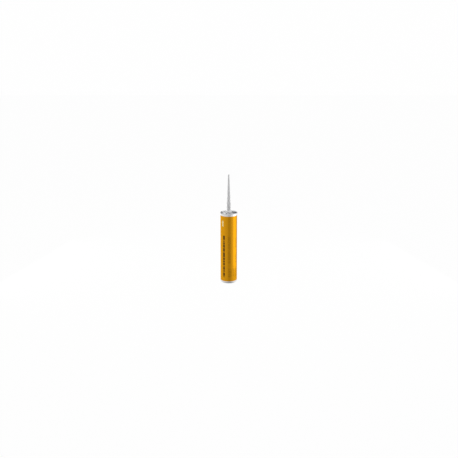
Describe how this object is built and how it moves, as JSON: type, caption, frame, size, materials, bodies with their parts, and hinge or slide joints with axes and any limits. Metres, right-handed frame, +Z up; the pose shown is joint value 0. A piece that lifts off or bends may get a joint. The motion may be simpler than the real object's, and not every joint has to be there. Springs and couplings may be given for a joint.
{
  "type": "intumescent coating cartridge",
  "caption": "Gun cartridge of fire-protective coating: printed metal tube with a recessed seamed end, screw-on tapered nozzle, and a piston pushed up from the open rear.",
  "frame": {"origin": "centre of the tube's foot, on the surface that it stands on", "axes": "+Z up the tube's axis towards the nozzle's tip; the printed front faces -Y"},
  "size_m": [0.0524, 0.0524, 0.331],
  "materials": {
    "printed_aluminium": "satin",
    "bare_aluminium": "satin",
    "sealing_compound": "matte",
    "neck_plastic": "satin",
    "foil": "gloss",
    "nozzle_plastic": "satin",
    "piston_plastic": "satin",
    "coating": "matte"
  },
  "bodies": {
    "cartridge": {"tube": "printed_aluminium", "end_disc": "bare_aluminium", "seam_gasket": "sealing_compound", "threaded_neck": "neck_plastic", "neck_foil": "foil", "coating_fill": "coating"},
    "nozzle": {"nozzle": "nozzle_plastic"},
    "piston": {"piston": "piston_plastic"}
  },
  "joints": [
    {"name": "piston_slide", "type": "slide", "parent": "cartridge", "child": "piston", "axis": [0, 0, 1], "range_m": [0, 0.16], "deforming": ["coating_fill"]},
    {"name": "nozzle_lift_off", "type": "slide", "parent": "cartridge", "child": "nozzle", "axis": [0, 0, 1], "range_m": [0, 0.03]}
  ]
}
